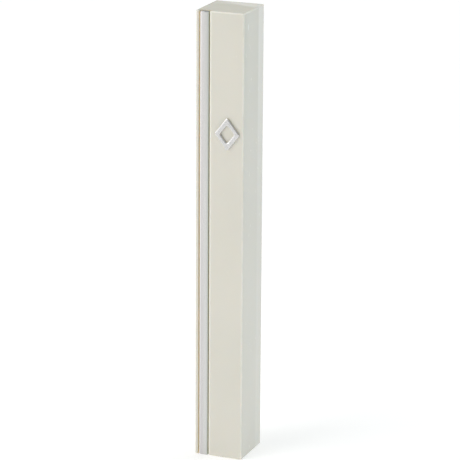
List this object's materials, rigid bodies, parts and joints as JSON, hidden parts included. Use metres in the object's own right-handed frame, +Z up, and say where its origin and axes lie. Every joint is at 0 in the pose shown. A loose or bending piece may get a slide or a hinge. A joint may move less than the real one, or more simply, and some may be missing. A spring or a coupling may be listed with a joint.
{
  "type": "mezuzah case",
  "caption": "Slim square case that drops over a screwed back plate and holds a rolled scroll, with a silver strip and a plain raised silver lozenge on its front.",
  "frame": {"origin": "on the back plate's rear face, half way between the two screw holes", "axes": "+Z up along the case, -Y out of the front, +X to the right as seen from the front"},
  "size_m": [0.0166, 0.0193, 0.15],
  "materials": {
    "ivory_plastic": "glossy moulded ivory",
    "silver_trim": "satin silver",
    "clear_tape": "thin double-sided tape",
    "emblem_silver": "satin silver, polished bevels",
    "plate_plastic": "fine moulded ivory",
    "foam": "white closed-cell foam",
    "liner_paper": "waxed release paper",
    "parchment": "matt hide",
    "clear_film": "clear film"
  },
  "bodies": {
    "wall_plate": {"back_plate": "plate_plastic", "foam_tape": "foam", "tape_liner": "liner_paper"},
    "scroll": {"scroll": "parchment", "scroll_wrap": "clear_film"},
    "case": {"case_body": "ivory_plastic", "trim_strip": "silver_trim", "trim_tape": "clear_tape", "front_emblem": "emblem_silver"}
  },
  "joints": [
    {"name": "case_slide", "type": "slide", "parent": "wall_plate", "child": "case", "axis": [0, 0, 1], "range_m": [0, 0.14]},
    {"name": "scroll_lift", "type": "slide", "parent": "wall_plate", "child": "scroll", "axis": [0, 0, 1], "range_m": [0, 0.023]}
  ]
}
